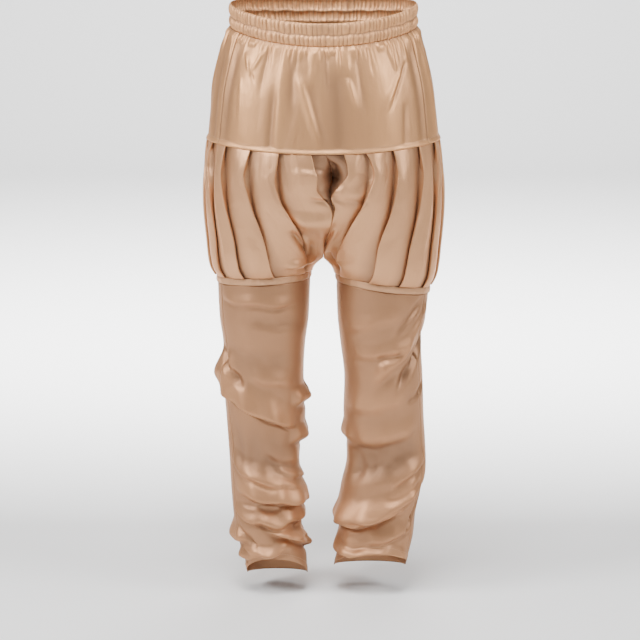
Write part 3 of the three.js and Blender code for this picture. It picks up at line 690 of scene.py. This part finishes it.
def pleat_controls(leg, is_front, down, distance_at):
    """The corners of a section across one panel's pleats: distances and heights, row by row down it."""
    read = lambda column: read_column(BLOOMER_ROWS, "down", column, down)
    puffed = smoothstep(0, 0.3, down) * (1 - smoothstep(0.75, 1, down))
    seam_shift = (-1 if is_front else 1) * SEAM_GAP / 2
    seam = (distance_at(SIDE_SEAM / 180) + seam_shift, read("flap") * PLEAT["seam_height"])
    middle = (distance_at(0.0 if is_front else 1.0), 0 * down)
    leaning = LEANING_PLEATS["left" if leg["side"] > 0 else "right"]
    corners = []
    for k, degrees in enumerate(leg["pleats"]):
        if (k < FRONT_PLEATS) != is_front:
            continue
        following = leg["pleats"][k + 1] if k + 1 < len(leg["pleats"]) else 180
        edge = distance_at(degrees / 180)
        pitch = distance_at(following / 180) - edge
        if k < len(leaning):
            lean = leaning[k]
            edge = edge * mix(1, lean["left_over"], smoothstep(lean["starts"], lean["ends"], down))
        quiet = mix(0.5, 1, float(smoothstep(0, PLEAT["quiet_degrees"], min(degrees, 182 - degrees))))
        uneven = mix(1, quiet * mix(0.85, 1.12, steady(k, leg["side"])), puffed)
        flap = np.maximum(read("flap") * uneven, PLEAT["pressed"])
        swing = open_swing(k, leg["side"], down)
        open_ = read("open") * quiet * mix(0.45, 1.35, steady(k, leg["side"] + 3)) * swing
        under = read("under")
        crown = edge + np.maximum(open_, under) + PLEAT["crown"] * pitch
        corners += [
            (np.maximum(edge - PLEAT["foot"] * pitch, 0.4 * edge), flap * PLEAT["foot_height"] * puffed),
            (edge + under, flap * PLEAT["fold_height"] * puffed),
            (edge + under, mix(PLEAT["under_layer"], flap * PLEAT["under_height"], puffed)),
            (edge + open_, mix(PLEAT["top_layer"], flap * PLEAT["edge_height"], puffed)),
            (edge + open_, flap * mix(1, PLEAT["lip_height"], puffed)),
            (edge + open_ + 0.7, flap * mix(1, PLEAT["lip_height"] + 0.03, puffed)),
        ]
        if k != FRONT_PLEATS - 1:
            corners.append((crown, flap * PLEAT["crown_height"]))
    corners = [middle, *corners, seam] if is_front else [seam, *corners, middle]
    return np.stack([c[0] for c in corners], axis=1), np.stack([c[1] for c in corners], axis=1)


# How the cloth between the legs hangs in front: its middle seam sways sideways, and folds and creases
# cross it. Their degrees are below 0 on the side of the right leg.
CROTCH_SWAY = [
    {"z": -238, "x": 2},
    {"z": -262, "x": 12},
    {"z": -290, "x": 14},
    {"z": -312, "x": 11},
    {"z": -335, "x": 17},
    {"z": -362, "x": 13},
    {"z": -400, "x": 4},
    {"z": -431, "x": 0},
    {"z": -460, "x": 0},
]
CROTCH_SWAY_REACH = 38
CROTCH_FOLDS = [
    (-25, -352, 11, -348, 1, 10, 20, 30, 0),
    (-13, -302, 8, -322, 4, 4, 12, 9, 3),
    (-2, -292, 26, -306, 6, 3, 16, 14, 2),
    (-30, -440, -8, -432, -3, 5, 12, 9, 3),
]
CROTCH_CREASES = [
    (-9, -6, -262, -322, 0, 4.0, 6.5),
    (2, 3, -250, -308, 2, 1.8, -7.0),
    (-22, -14.5, -366, -436, 0, 1.7, -8.0),
    (-17.5, -12.5, -378, -440, 0, 1.2, 4.0),
    (-14, -17, -396, -458, 2, 1.2, -7.0),
    (-9, -3, -362, -432, 0, 1.5, 4.0),
    (-4, -0.5, -366, -434, 0, 1.1, -4.0),
    (6, 1.4, -366, -430, 0, 1.2, -4.0),
    (10, 4, -360, -436, 0, 1.8, 4.5),
    (7, 14, -410, -460, 0, 1.6, -6.0),
    (13, 19, -400, -462, 0, 1.8, 3.5),
    (-28, -33, -350, -450, 0, 3.0, 3.0),
]


def open_swing(k, side, down):
    """How much wider or narrower one pleat hangs open than its neighbours, at each place down."""
    return 1 + 0.35 * np.sin(down * mix(5, 10, steady(k, side + 7)) + 6 * steady(k, side + 11))


def rounded(count, samples):
    """The weights that turn a row of corners into a smooth line that starts and ends on the outer ones."""
    padded = [0, 0, *range(count), count - 1, count - 1]
    rows = []
    for k in range(count + 1):
        for t in np.linspace(0, 1, samples, endpoint=False):
            early, late = 3 * t**3 - 6 * t**2 + 4, -3 * t**3 + 3 * t**2 + 3 * t + 1
            weights = np.array([(1 - t) ** 3, early, late, t**3]) / 6
            row = np.zeros(count)
            for weight, index in zip(weights, padded[k : k + 4]):
                row[index] += weight
            rows.append(row)
    last = np.zeros(count)
    last[-1] = 1
    return np.array([*rows, last])


# The bloomers' top edge, which is turned up inside the yoke's hem
TURNED_UP = [{"up": 13.0, "inwards": 6.0}, {"up": 1.0, "inwards": 2.6}]
# How many millimetres of fold, and of hollow in front of the crotch, take the cloth's painted shade from
# lit to dark
FOLD_SHADE = 14
HOLLOW_SHADE = 45


def bloomer_sheet(leg, is_front):
    rows, samples = ((84, 4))
    down = np.linspace(0, 1, rows)
    ways = np.linspace(0, 1, 181)
    track = bloomer_surface(leg, ways[None, :], down[:, None])
    lengths = np.linalg.norm(np.diff(track, axis=1), axis=-1)
    distances = np.concatenate([np.zeros((rows, 1)), np.cumsum(lengths, axis=1)], axis=1)
    distance_at = lambda way: np.array([np.interp(way, ways, row) for row in distances])
    s, h = pleat_controls(leg, is_front, down, distance_at)
    weights = rounded(s.shape[1], samples)
    s, h = s @ weights.T, h @ weights.T
    way = np.array([np.interp(row, track_row, ways) for row, track_row in zip(s, distances)])
    place = np.broadcast_to(down[:, None], way.shape)
    points = bloomer_surface(leg, way, place)
    out = bloomer_out(leg, way, place)
    edge = 0 if is_front else -1
    inseam = np.array([-leg["side"], 0.0, 0.0])
    below = smoothstep(CROTCH["down"] - 0.02, CROTCH["down"] + 0.06, down)[:, None]
    in_plane = unit(out[:, edge] * np.array([0.0, 1.0, 1.0]))
    out[:, edge] = unit(mix(in_plane, inseam, below))
    shifted, raised = fold_shift(CROTCH_FOLDS, leg["side"] * way * 180, points[..., 2])
    creased = crease_height(CROTCH_CREASES, leg["side"] * way * 180, points[..., 2])
    flap = read_column(BLOOMER_ROWS, "down", "flap", down)[:, None]
    column = "front_y" if is_front else "back_y"
    hollow = read_column(MIDDLE_ROWS, "down", column, down / CROTCH["down"])[:, None]
    # Painted shade: the layers under the pleats' flaps, sunk folds and creases, and the hollow in front of
    # the crotch are darkened; raised folds are lighter
    near_seam = 1 - smoothstep(0.02, 0.06, np.minimum(way, 1 - way))
    painted_hollow_shade = near_seam * (1 - smoothstep(0.3, 0.5, down))[:, None]
    painted_light = smoothstep(-0.1, 0.75, h / flap) + (shifted + creased) / FOLD_SHADE
    painted_light = painted_light - painted_hollow_shade * (HIP["half_depth"] - np.abs(hollow)) / HOLLOW_SHADE
    free = (smoothstep(0, 0.06, down) * (1 - smoothstep(0.9, 0.97, down)))[:, None]
    h = h + free * (shifted + creased)
    points = points + out * (h - CLOTH / 2)[..., None]
    points[..., 2] += free * raised
    limit = (SEAM_GAP + CLOTH) / 2
    points[:, edge, 1] += (-1 if is_front else 1) * limit * (down >= CROTCH["down"] - 0.01)
    points[..., 0] = leg["side"] * np.maximum(leg["side"] * points[..., 0], limit)
    if is_front:
        near_middle = np.exp(-((points[..., 0] / CROTCH_SWAY_REACH) ** 2))
        points[..., 0] += near_middle * read_column(CROTCH_SWAY, "z", "x", points[..., 2])
    turned_up = []
    for row in TURNED_UP:
        turned_up.append(points[0] - row["inwards"] * out[0] + np.array([0.0, 0.0, row["up"]]))
    # Painted shade: the strip turned up inside the yoke's hem is fully darkened
    painted_seam_shade = np.zeros((len(TURNED_UP), painted_light.shape[1]))
    return np.concatenate([turned_up, points]), np.concatenate([painted_seam_shade, painted_light])


# Thigh bands


def band_sheet(leg):
    columns, rows = 220, 13
    degrees = np.linspace(0, 360, columns, endpoint=False)[None, :]
    up = np.linspace(0, 1, rows)[:, None]
    angle = np.radians(degrees + leg["band_join"])
    from_join = np.minimum(degrees, 360 - degrees)
    join = BAND["join_proud"] * (1 - smoothstep(BAND["join_degrees"] - 1, BAND["join_degrees"], from_join))
    roll = np.sin(math.pi * up) ** 0.5
    tuck = 0.35 * np.sin(angle * 31) * np.sin(math.pi * up)
    height = mix(BAND["edge_proud"], BAND["middle_proud"], roll) + join + tuck - CLOTH / 2
    z = band_level(leg, angle) + (up - 0.5) * BAND["height"]
    z = np.broadcast_to(z, height.shape)
    ring = ring_point(THIGH["half_width"], THIGH["half_depth"], angle, z, height)
    # Painted shade: the band is darker towards its edges and lighter on its rounded middle
    return on_leg(leg, THIGH["x"], THIGH["y"], ring), 0.3 + 0.7 * roll


# Lower legs


LEG_FOLD_SHADE = 15


def leg_sheet(name, start, end, columns):
    leg = LEGS[name]
    rows = 190
    half_gap = math.degrees(SEAM_GAP / 2 / THIGH["half_width"])
    degrees = np.linspace(start + half_gap, end - half_gap, columns)[None, :]
    down = np.linspace(0, 1, rows)[:, None]
    angle = np.radians(degrees)
    front_rise = HEM["front_rise"] * np.maximum(np.cos(angle), 0)
    back_drop = HEM["back_drop"] * np.maximum(-np.cos(angle), 0)
    top_z = band_level(leg, angle) - BAND["height"] / 2 - SEAM_GAP
    z = mix(top_z, leg["hem_z"] + front_rise - back_drop, down)
    degrees = np.broadcast_to(degrees, z.shape)
    outwards, upwards = fold_shift(MAIN_FOLDS[name] + MINOR_FOLDS[name], degrees, z)
    edge = np.minimum(degrees - start, end - degrees)
    outwards = outwards - 0.7 * (1 - smoothstep(0, 2.2, edge))
    above_hem = (1 - down) * (top_z - leg["hem_z"])
    in_hem = 1 - smoothstep(HEM["height"] - 1, HEM["height"] + 0.5, above_hem)
    stitched = np.exp(-(((above_hem - HEM["height"] + 2) / 0.9) ** 2))
    outwards = outwards + HEM["thicker"] * in_hem - HEM["stitch_dip"] * stitched
    read = lambda column: read_column(LEG_ROWS[name], "z", column, z)
    angle, height = np.radians(degrees), outwards - CLOTH / 2
    points = ring_point(read("half_width"), read("half_depth"), angle, z + upwards, height)
    # Painted light and shade: cloth on a fold is lighter, and cloth in a trough or tuck is darker
    return on_leg(leg, read("x"), read("y"), points), 0.55 + outwards / LEG_FOLD_SHADE


# Materials


class Wire:
    """A value that comes out of a node. Sums, differences and products of wires add Math nodes."""

    def __init__(self, maker, socket):
        self.maker = maker
        self.socket = socket

    def _math(self, operation, first, second):
        return self.maker.node("ShaderNodeMath", {"operation": operation}, {0: first, 1: second})

    def __add__(self, other):
        return self._math("ADD", self, other)

    __radd__ = __add__

    def __sub__(self, other):
        return self._math("SUBTRACT", self, other)

    def __abs__(self):
        return self._math("ABSOLUTE", self, 0.0)

    def __mul__(self, other):
        return self._math("MULTIPLY", self, other)

    __rmul__ = __mul__


class Finish:
    """Builds one material out of nodes."""

    def __init__(self, name):
        self.material = bpy.data.materials.new(name)
        self.material.use_nodes = True
        self.tree = self.material.node_tree
        self.tree.nodes.clear()

    def node(self, kind, settings, inputs, output=0):
        made = self.tree.nodes.new(kind)
        for key, value in settings.items():
            setattr(made, key, value)
        for key, value in inputs.items():
            if isinstance(value, Wire):
                self.tree.links.new(value.socket, made.inputs[key])
            else:
                made.inputs[key].default_value = value
        return Wire(self, made.outputs[output])

    def surface(self, inputs):
        """Ends the material with one shader, and returns the finished material."""
        shader = self.node("ShaderNodeBsdfPrincipled", {}, inputs)
        last = self.tree.nodes.new("ShaderNodeOutputMaterial")
        self.tree.links.new(shader.socket, last.inputs["Surface"])
        return self.material

    def noise(self, where, scale, detail, roughness=0.5):
        inputs = {"Vector": where, "Scale": scale, "Detail": detail, "Roughness": roughness}
        return self.node("ShaderNodeTexNoise", {}, inputs, "Fac")

    def bump(self, height, strength, distance, normal=None):
        inputs = {"Height": height, "Strength": strength, "Distance": distance}
        if normal:
            inputs["Normal"] = normal
        return self.node("ShaderNodeBump", {}, inputs)

    def blend(self, share, first, second):
        return self.node("ShaderNodeMix", {"data_type": "RGBA"}, {0: share, 6: first, 7: second}, 2)


# The satin's colours: the lower and the upper end of its clouding, and the painted shade of the cloth down
# in a fold
# The yoke's, the bloomers' and the legs' pairs are copies of the one satin, lighter at the top and darker
# on the legs, as painted light and shade for how the light falls off down the garment
YOKE_COLOURS = ((0.66, 0.33, 0.146, 1.0), (0.79, 0.418, 0.194, 1.0))
PLEAT_COLOURS = ((0.58, 0.298, 0.148, 1.0), (0.74, 0.4, 0.208, 1.0))
LEG_SHADED_COLOURS = ((0.43, 0.216, 0.108, 1.0), (0.56, 0.288, 0.148, 1.0))
ELASTIC_COLOURS = ((0.68, 0.346, 0.154, 1.0), (0.81, 0.432, 0.206, 1.0))
BAND_COLOURS = ((0.57, 0.305, 0.16, 1.0), (0.67, 0.376, 0.205, 1.0))
PAINTED_FOLD_SHADE = (0.32, 0.175, 0.1, 1.0)
# Reliefs of the satin: how strong each is, and how deep in metres
BILLOW_DEPTH = 0.014
CRINKLE = (0.22, 0.009)
GRAIN = (0.22, 0.0025)
WEAVE = (0.25, 0.0003)


def satin(name, colours, roughness, metallic, ripple, rumpled):
    """Beige art silk: a fine weave with slubs, a soft tinted sheen, and the ripples of worn satin.
    Ripple is how many soft waves run across and down a metre of it, and rumpled is how strong they are."""
    finish = Finish(name)
    cloth = finish.node("ShaderNodeUVMap", {"uv_map": "cloth"}, {})
    place = finish.node("ShaderNodeTexCoord", {}, {}, "Object")
    scaled = lambda u, v: finish.node("ShaderNodeMapping", {}, {"Vector": cloth, "Scale": (u, v, 1.0)})
    warp = finish.noise(scaled(900.0, 40.0), 1.0, 2.0)
    weft = finish.noise(scaled(30.0, 1400.0), 1.0, 2.0)
    billow = finish.noise(scaled(*ripple), 1.0, 2.0, 0.45)
    crinkle = abs(finish.noise(scaled(2.1 * ripple[0], 1.9 * ripple[1]), 1.0, 2.0, 0.5) - 0.5)
    grain = finish.noise(place, 60.0, 4.0, 0.6)
    cloud = finish.noise(place, 9.0, 3.0)
    # Painted shade: the mesh's painted light and shade blends the cloth towards a dark brown down in folds,
    # hollows and seams
    painted_light = finish.node("ShaderNodeAttribute", {"attribute_name": "painted_light"}, {}, "Fac")
    flat = finish.blend(0.45 * cloud + 0.25 * warp + 0.3 * weft, *colours)
    colour = finish.blend(painted_light, PAINTED_FOLD_SHADE, flat)
    normal = finish.bump(billow, rumpled, BILLOW_DEPTH)
    normal = finish.bump(crinkle, *CRINKLE, normal)
    normal = finish.bump(grain, *GRAIN, normal)
    normal = finish.bump(warp + weft, *WEAVE, normal)
    return finish.surface(
        {
            "Base Color": colour,
            "Metallic": metallic,
            "Roughness": roughness - 0.05 + 0.1 * weft,
            "Normal": normal,
            "Specular IOR Level": 0.2,
            "Specular Tint": (0.8, 0.62, 0.5, 1.0),
        }
    )


def plain(name, colour, roughness):
    return Finish(name).surface({"Base Color": colour, "Roughness": roughness})


# The stage: floor, backdrop, lights and camera

# The floor's plane and the wall that it turns up into, in metres
FLOOR = {"size": 14, "middle_y": 3, "wall_from_y": 6, "wall_height": 7, "bend": 2.5, "bend_segments": 16}
LIGHT_COLUMNS = ("name", "place", "target", "size", "power")
LIGHTS = [
    ("key", (-2.4, -1.2, 1.2), (0, 0, -0.3), 1.2, 88),
    ("fill", (2.5, -1.2, 1.1), (0, 0, -0.3), 1.2, 60),
    ("front", (-0.3, -1.7, 3.0), (0, 0, -0.5), 1.6, 145),
    ("back", (0.5, 2.0, 2.6), (0, 0, -0.5), 1.6, 50),
    ("backdrop", (0.0, 2.0, 2.6), (0, 6.0, 0.9), 4.0, 1250),
]
WORLD_STRENGTH = 0.18
STUDIO_WHITE = (0.95, 0.95, 0.95, 1.0)
SENSOR_WIDTH = 36


def stage():
    bpy.ops.object.select_all(action="DESELECT")
    bpy.ops.mesh.primitive_plane_add(size=FLOOR["size"], location=(0, FLOOR["middle_y"], FLOOR_Z))
    floor = bpy.context.object
    floor.name = "floor"
    bpy.ops.object.mode_set(mode="EDIT")
    bpy.ops.mesh.select_all(action="DESELECT")
    bpy.ops.mesh.select_mode(type="EDGE")
    bpy.ops.object.mode_set(mode="OBJECT")
    for edge in floor.data.edges:
        edge.select = all(floor.data.vertices[v].co.y > FLOOR["wall_from_y"] for v in edge.vertices)
    bpy.ops.object.mode_set(mode="EDIT")
    bpy.ops.mesh.extrude_region_move(TRANSFORM_OT_translate={"value": (0, 0, FLOOR["wall_height"])})
    bpy.ops.object.mode_set(mode="OBJECT")
    bend = floor.modifiers.new("bend", "BEVEL")
    bend.width = FLOOR["bend"]
    bend.segments = FLOOR["bend_segments"]
    floor.data.materials.append(plain("studio_white", STUDIO_WHITE, 0.9))
    floor.data.shade_smooth()


def area_light(name, place, target, size, power):
    light = bpy.data.lights.new(name, "AREA")
    light.size = size
    light.energy = power
    lamp = bpy.data.objects.new(name, light)
    bpy.context.scene.collection.objects.link(lamp)
    lamp.location = place
    lamp.rotation_euler = (Vector(target) - Vector(place)).to_track_quat("-Z", "Y").to_euler()


def lights_and_camera():
    for row in LIGHTS:
        area_light(**dict(zip(LIGHT_COLUMNS, row)))
    world = bpy.data.worlds.new("studio")
    bpy.context.scene.world = world
    world.use_nodes = True
    background = world.node_tree.nodes["Background"]
    background.inputs["Color"].default_value = (1.0, 1.0, 1.0, 1.0)
    background.inputs["Strength"].default_value = WORLD_STRENGTH
    lens = bpy.data.cameras.new("camera")
    camera = bpy.data.objects.new("camera", lens)
    bpy.context.scene.collection.objects.link(camera)
    offset = Vector((0, -math.cos(CAMERA_TILT), math.sin(CAMERA_TILT))) * CAMERA_DISTANCE
    camera.location = CAMERA_TARGET + offset
    camera.rotation_euler = (-offset).to_track_quat("-Z", "Y").to_euler()
    lens.sensor_width = SENSOR_WIDTH
    lens.lens = lens.sensor_width * CAMERA_DISTANCE / (FRAME_PIXELS * MM_PER_PIXEL * 0.001)
    bpy.context.scene.camera = camera


# The whole garment

yoke_satin = satin("beige_satin_yoke", YOKE_COLOURS, 0.46, 0.62, (13.0, 4.5), 0.34)
pleat_satin = satin("beige_satin_bloomers", PLEAT_COLOURS, 0.42, 0.6, (16.0, 9.0), 0.6)
leg_satin = satin("beige_satin_legs", LEG_SHADED_COLOURS, 0.45, 0.56, (5.0, 7.0), 0.4)
elastic_satin = satin("beige_satin_elastic", ELASTIC_COLOURS, 0.5, 0.6, (60.0, 20.0), 0.28)
band_satin = satin("beige_satin_band", BAND_COLOURS, 0.47, 0.55, (14.0, 24.0), 0.2)
thread = plain("beige_thread", (0.6, 0.36, 0.2, 1.0), 0.6)

stage()
lights_and_camera()

sheet = waist_sheet()
waist = cloth_mesh("waistband_cloth", sheet, closed=True)
dress(waist, "waistband", elastic_satin)
sewn_row = round(WAIST_GROOVE["up"] * (len(sheet[0]) - 1))
stitched_rows("waistband_stitches", [grid_row(sheet[0], -1, sewn_row, closed=True)])

yoke_rows = []
for part, start, end, creases, salt in (
    ("front", -SIDE_SEAM, SIDE_SEAM, YOKE_FRONT_CREASES, 5),
    ("back", SIDE_SEAM, 360 - SIDE_SEAM, YOKE_BACK_CREASES, 9),
):
    sheet = yoke_sheet(start, end, YOKE_GATHERS[part], creases, salt)
    panel = cloth_mesh(f"yoke_{part}_cloth", sheet)
    dress(panel, f"yoke_{part}", yoke_satin)
    yoke_rows.append(grid_row(sheet[0], 1, -4))
stitched_rows("yoke_stitches", yoke_rows)

for name, leg in LEGS.items():
    for part, is_front in (("front", True), ("back", False)):
        panel = cloth_mesh(f"bloomer_{part}_{name}_cloth", bloomer_sheet(leg, is_front))
        dress(panel, f"bloomer_{part}_{name}", pleat_satin)
    sheet = band_sheet(leg)
    band = cloth_mesh(f"band_{name}_cloth", sheet, closed=True, thickness=BAND_CLOTH)
    dress(band, f"band_{name}", band_satin)
    band_rows = [grid_row(sheet[0], -leg["side"], row, closed=True) for row in (2, -3)]
    stitched_rows(f"band_{name}_stitches", band_rows)
    hem_rows = []
    for part, start, end, columns in (("front", -90, SIDE_SEAM, 70), ("back", SIDE_SEAM, 270, 96)):
        sheet = leg_sheet(name, start, end, columns)
        panel = cloth_mesh(f"leg_{part}_{name}_cloth", sheet)
        points = sheet[0]
        dress(panel, f"leg_{part}_{name}", leg_satin)
        from_hem = np.linalg.norm(points - points[-1], axis=-1)[:, 0]
        sewn_row = int(np.argmin(np.abs(from_hem - HEM["height"] + 2)))
        hem_rows.append(grid_row(points, leg["side"], sewn_row))
    stitched_rows(f"hem_{name}_stitches", hem_rows)
